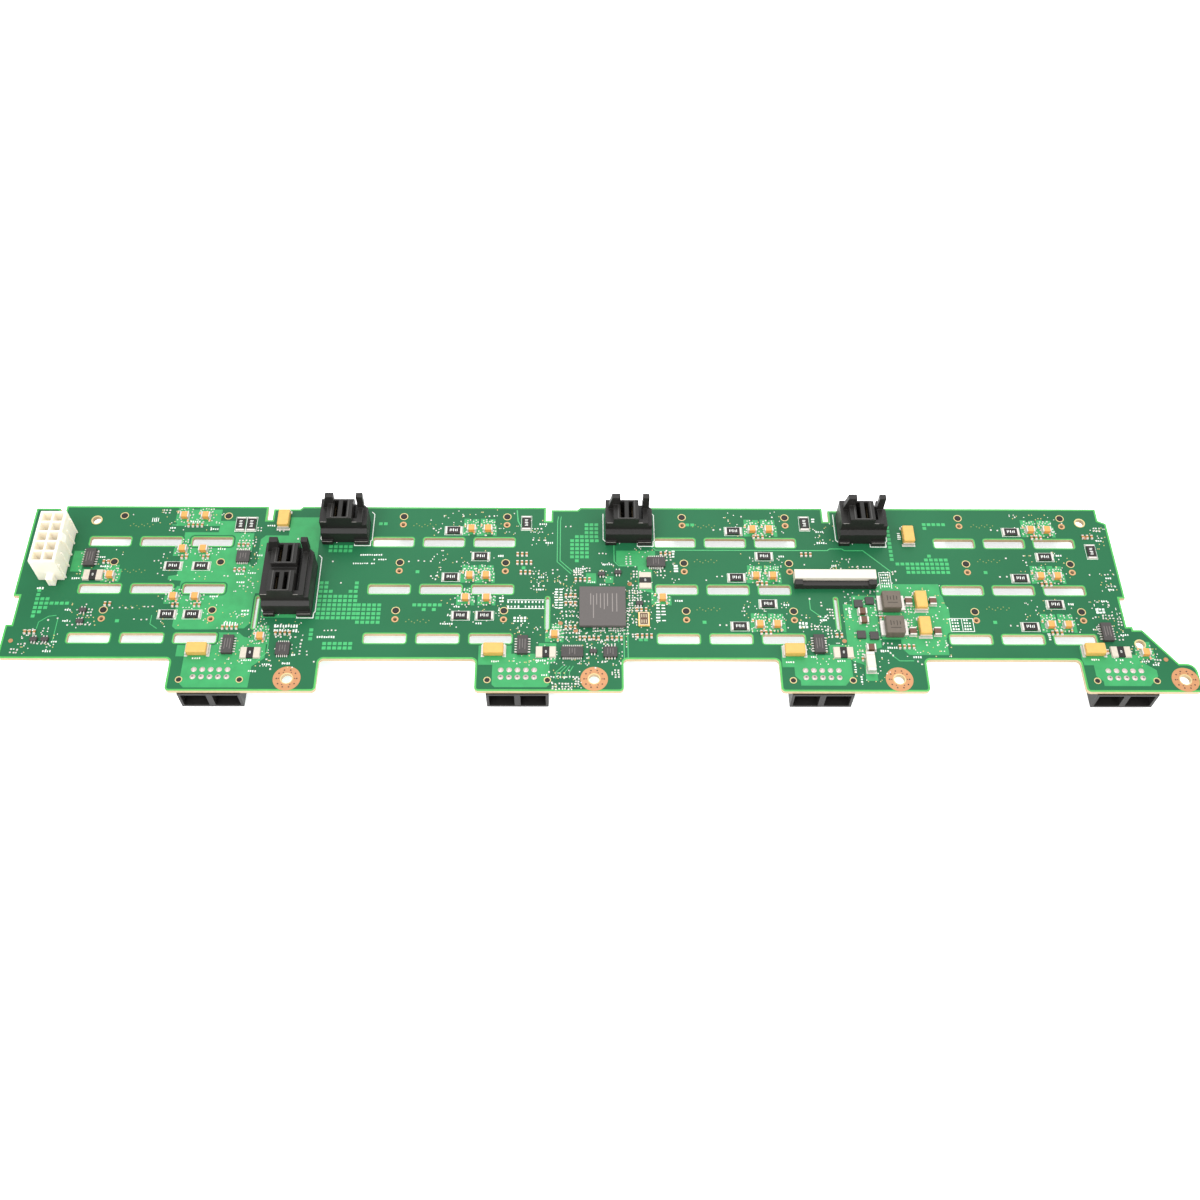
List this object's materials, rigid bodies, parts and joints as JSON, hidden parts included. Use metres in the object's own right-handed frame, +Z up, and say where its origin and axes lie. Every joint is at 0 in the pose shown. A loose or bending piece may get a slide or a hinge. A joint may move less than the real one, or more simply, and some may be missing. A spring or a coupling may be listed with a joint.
{
  "type": "drive backplane board",
  "caption": "Long green circuit board with tabs along one edge, drive receptacles below and cable connectors, power parts and chips on top.",
  "frame": {"origin": "middle of the footprint, on the plane that the drive receptacles rest on", "axes": "+X along the board from the end with the white header, +Y from the tabs to the opposite edge, +Z up out of the component side"},
  "size_m": [0.432, 0.0818, 0.0296],
  "materials": {
    "green_laminate": "green solder mask on glass laminate",
    "copper": "bare copper",
    "black_plastic": "moulded",
    "white_plastic": "moulded",
    "dark_plastic": "moulded",
    "gold_contacts": "gold plated",
    "tinned_metal": "tinned",
    "chip_package": "moulded",
    "brown_lid": "satin",
    "ferrite": "pressed powder",
    "yellow_epoxy": "moulded",
    "tan_ceramic": "fired",
    "brown_ceramic": "fired",
    "white_ceramic": "glazed"
  },
  "bodies": {
    "board": {"cable_header_1": "black_plastic", "cable_header_2": "black_plastic", "cable_header_3": "black_plastic", "cable_header_4": "black_plastic", "cable_header_pins_1": "tinned_metal", "cable_header_pins_2": "tinned_metal", "cable_header_pins_3": "tinned_metal", "cable_header_pins_4": "tinned_metal", "ceramic_capacitor_ends": "tinned_metal", "ceramic_capacitors": "tan_ceramic", "circuit_board": "green_laminate", "controller_chip": "chip_package", "controller_solder": "tinned_metal", "crystal_base": "gold_contacts", "crystal_lid": "brown_lid", "data_connector_double": "black_plastic", "data_connector_left": "black_plastic", "data_connector_middle": "black_plastic", "data_connector_right": "black_plastic", "data_contacts": "gold_contacts", "drive_receptacle_a1": "black_plastic", "drive_receptacle_a2": "black_plastic", "drive_receptacle_a3": "black_plastic", "drive_receptacle_b1": "black_plastic", "drive_receptacle_b2": "black_plastic", "drive_receptacle_b3": "black_plastic", "drive_receptacle_c1": "black_plastic", "drive_receptacle_c2": "black_plastic", "drive_receptacle_c3": "black_plastic", "drive_receptacle_d1": "black_plastic", "drive_receptacle_d2": "black_plastic", "drive_receptacle_d3": "black_plastic", "driver_chip_leads": "tinned_metal", "driver_chips": "chip_package", "filter_capacitor_ends": "tinned_metal", "filter_capacitors": "brown_ceramic", "fuse_body": "white_ceramic", "fuse_ends": "tinned_metal", "inductor_leads": "tinned_metal", "inductors": "ferrite", "logic_chip_leads": "tinned_metal", "logic_chips": "chip_package", "power_header": "white_plastic", "power_header_pins": "tinned_metal", "power_resistor_ends": "tinned_metal", "power_resistors": "chip_package", "power_switches": "chip_package", "receptacle_contacts": "gold_contacts", "ribbon_contacts": "tinned_metal", "ribbon_housing": "white_plastic", "screw_pads": "copper", "sense_strip_ends": "tinned_metal", "sense_strips": "chip_package", "small_chip_parts": "tan_ceramic", "tantalum_capacitor_feet": "tinned_metal", "tantalum_capacitors": "yellow_epoxy", "transistor_leads": "tinned_metal", "transistors": "chip_package"},
    "lock": {"ribbon_lock": "dark_plastic"}
  },
  "joints": [
    {"name": "ribbon_lock_slide", "type": "slide", "parent": "board", "child": "lock", "axis": [0, -1, 0], "range_m": [0, 0.0015]}
  ]
}
